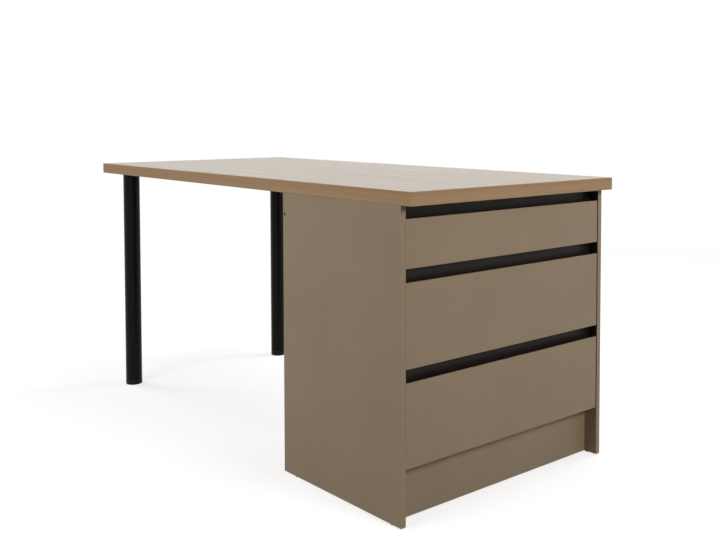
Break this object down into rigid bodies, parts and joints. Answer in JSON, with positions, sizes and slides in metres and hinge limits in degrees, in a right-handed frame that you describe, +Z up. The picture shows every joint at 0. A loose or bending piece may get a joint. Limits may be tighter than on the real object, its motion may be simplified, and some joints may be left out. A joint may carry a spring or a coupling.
{
  "type": "kitchen island unit",
  "caption": "Long worktop on a drawer base cabinet at one end and round adjustable legs at the other, with black grip channels between flush drawer fronts.",
  "frame": {"origin": "on the floor, under the centre of the worktop", "axes": "+X to the right for somebody facing the drawers, +Y from the drawer side to the leg side along the worktop, +Z up"},
  "size_m": [0.8, 1.8, 0.85],
  "materials": {
    "worktop_laminate": "light wood-look laminate, fine lengthwise streaks, satin",
    "worktop_edge": "brown wood-look edging strip, satin",
    "cabinet_board": "greige melamine-faced chipboard, matt",
    "drawer_board": "white melamine-faced chipboard, matt",
    "drawer_bottom_board": "white-faced hardboard, matt",
    "black_profile": "black anodised extrusion, satin",
    "black_plastic": "black moulded plastic",
    "black_steel": "black powder coat, fine texture",
    "beech": "plain beech",
    "black_screw": "black oxide",
    "zinc_fitting": "zinc plated",
    "runner_steel": "bright zinc-plated sheet"
  },
  "bodies": {
    "cabinet": {"worktop": "worktop_laminate", "worktop_edging": "worktop_edge", "side_panel_left": "cabinet_board", "side_panel_right": "cabinet_board", "back_panel": "cabinet_board", "bottom_panel": "cabinet_board", "front_rail": "cabinet_board", "rear_rail": "cabinet_board", "plinth_board": "cabinet_board", "plinth_blocks": "beech", "panel_glides": "black_plastic", "cam_locks": "zinc_fitting", "cam_bolts": "zinc_fitting", "wood_dowels": "beech", "connector_screws": "black_screw", "worktop_screws": "zinc_fitting", "grip_profile_top": "black_profile", "grip_profile_middle": "black_profile", "grip_profile_bottom": "black_profile", "grip_end_plates": "black_plastic", "leg_tube_left": "black_steel", "leg_tube_right": "black_steel", "leg_plate_left": "black_steel", "leg_plate_right": "black_steel", "leg_plate_screws": "zinc_fitting", "leg_inserts": "black_plastic", "upper_cabinet_rails": "runner_steel", "centre_cabinet_rails": "runner_steel", "lower_cabinet_rails": "runner_steel"},
    "upper_drawer": {"upper_drawer_front": "cabinet_board", "upper_drawer_side_left": "drawer_board", "upper_drawer_side_right": "drawer_board", "upper_drawer_back": "drawer_board", "upper_drawer_bottom": "drawer_bottom_board", "upper_drawer_rails": "runner_steel"},
    "upper_runner_middle": {"upper_middle_rails": "runner_steel"},
    "upper_outer_cages": {"upper_outer_ball_cages": "runner_steel"},
    "upper_inner_cages": {"upper_inner_ball_cages": "runner_steel"},
    "centre_drawer": {"centre_drawer_front": "cabinet_board", "centre_drawer_side_left": "drawer_board", "centre_drawer_side_right": "drawer_board", "centre_drawer_back": "drawer_board", "centre_drawer_bottom": "drawer_bottom_board", "centre_drawer_rails": "runner_steel"},
    "centre_runner_middle": {"centre_middle_rails": "runner_steel"},
    "centre_outer_cages": {"centre_outer_ball_cages": "runner_steel"},
    "centre_inner_cages": {"centre_inner_ball_cages": "runner_steel"},
    "lower_drawer": {"lower_drawer_front": "cabinet_board", "lower_drawer_side_left": "drawer_board", "lower_drawer_side_right": "drawer_board", "lower_drawer_back": "drawer_board", "lower_drawer_bottom": "drawer_bottom_board", "lower_drawer_rails": "runner_steel"},
    "lower_runner_middle": {"lower_middle_rails": "runner_steel"},
    "lower_outer_cages": {"lower_outer_ball_cages": "runner_steel"},
    "lower_inner_cages": {"lower_inner_ball_cages": "runner_steel"},
    "foot_left": {"leg_foot_left": "black_plastic"},
    "foot_right": {"leg_foot_right": "black_plastic"}
  },
  "joints": [
    {"name": "upper_drawer_slide", "type": "slide", "parent": "cabinet", "child": "upper_drawer", "axis": [0, -1, 0], "range_m": [0, 0.45]},
    {"name": "upper_runner_middle_slide", "type": "slide", "parent": "cabinet", "child": "upper_runner_middle", "axis": [0, -1, 0], "range_m": [0, 0.225]},
    {"name": "upper_outer_cages_slide", "type": "slide", "parent": "cabinet", "child": "upper_outer_cages", "axis": [0, -1, 0], "range_m": [0, 0.1125]},
    {"name": "upper_inner_cages_slide", "type": "slide", "parent": "cabinet", "child": "upper_inner_cages", "axis": [0, -1, 0], "range_m": [0, 0.3375]},
    {"name": "centre_drawer_slide", "type": "slide", "parent": "cabinet", "child": "centre_drawer", "axis": [0, -1, 0], "range_m": [0, 0.45]},
    {"name": "centre_runner_middle_slide", "type": "slide", "parent": "cabinet", "child": "centre_runner_middle", "axis": [0, -1, 0], "range_m": [0, 0.225]},
    {"name": "centre_outer_cages_slide", "type": "slide", "parent": "cabinet", "child": "centre_outer_cages", "axis": [0, -1, 0], "range_m": [0, 0.1125]},
    {"name": "centre_inner_cages_slide", "type": "slide", "parent": "cabinet", "child": "centre_inner_cages", "axis": [0, -1, 0], "range_m": [0, 0.3375]},
    {"name": "lower_drawer_slide", "type": "slide", "parent": "cabinet", "child": "lower_drawer", "axis": [0, -1, 0], "range_m": [0, 0.45]},
    {"name": "lower_runner_middle_slide", "type": "slide", "parent": "cabinet", "child": "lower_runner_middle", "axis": [0, -1, 0], "range_m": [0, 0.225]},
    {"name": "lower_outer_cages_slide", "type": "slide", "parent": "cabinet", "child": "lower_outer_cages", "axis": [0, -1, 0], "range_m": [0, 0.1125]},
    {"name": "lower_inner_cages_slide", "type": "slide", "parent": "cabinet", "child": "lower_inner_cages", "axis": [0, -1, 0], "range_m": [0, 0.3375]},
    {"name": "foot_left_screw", "type": "slide", "parent": "cabinet", "child": "foot_left", "axis": [0, 0, -1], "range_m": [0, 0.02]},
    {"name": "foot_right_screw", "type": "slide", "parent": "cabinet", "child": "foot_right", "axis": [0, 0, -1], "range_m": [0, 0.02]}
  ],
  "couplings": [
    {"joint": "upper_runner_middle_slide", "follows": "upper_drawer_slide", "ratio": 0.5},
    {"joint": "upper_outer_cages_slide", "follows": "upper_drawer_slide", "ratio": 0.25},
    {"joint": "upper_inner_cages_slide", "follows": "upper_drawer_slide", "ratio": 0.75},
    {"joint": "centre_runner_middle_slide", "follows": "centre_drawer_slide", "ratio": 0.5},
    {"joint": "centre_outer_cages_slide", "follows": "centre_drawer_slide", "ratio": 0.25},
    {"joint": "centre_inner_cages_slide", "follows": "centre_drawer_slide", "ratio": 0.75},
    {"joint": "lower_runner_middle_slide", "follows": "lower_drawer_slide", "ratio": 0.5},
    {"joint": "lower_outer_cages_slide", "follows": "lower_drawer_slide", "ratio": 0.25},
    {"joint": "lower_inner_cages_slide", "follows": "lower_drawer_slide", "ratio": 0.75}
  ]
}
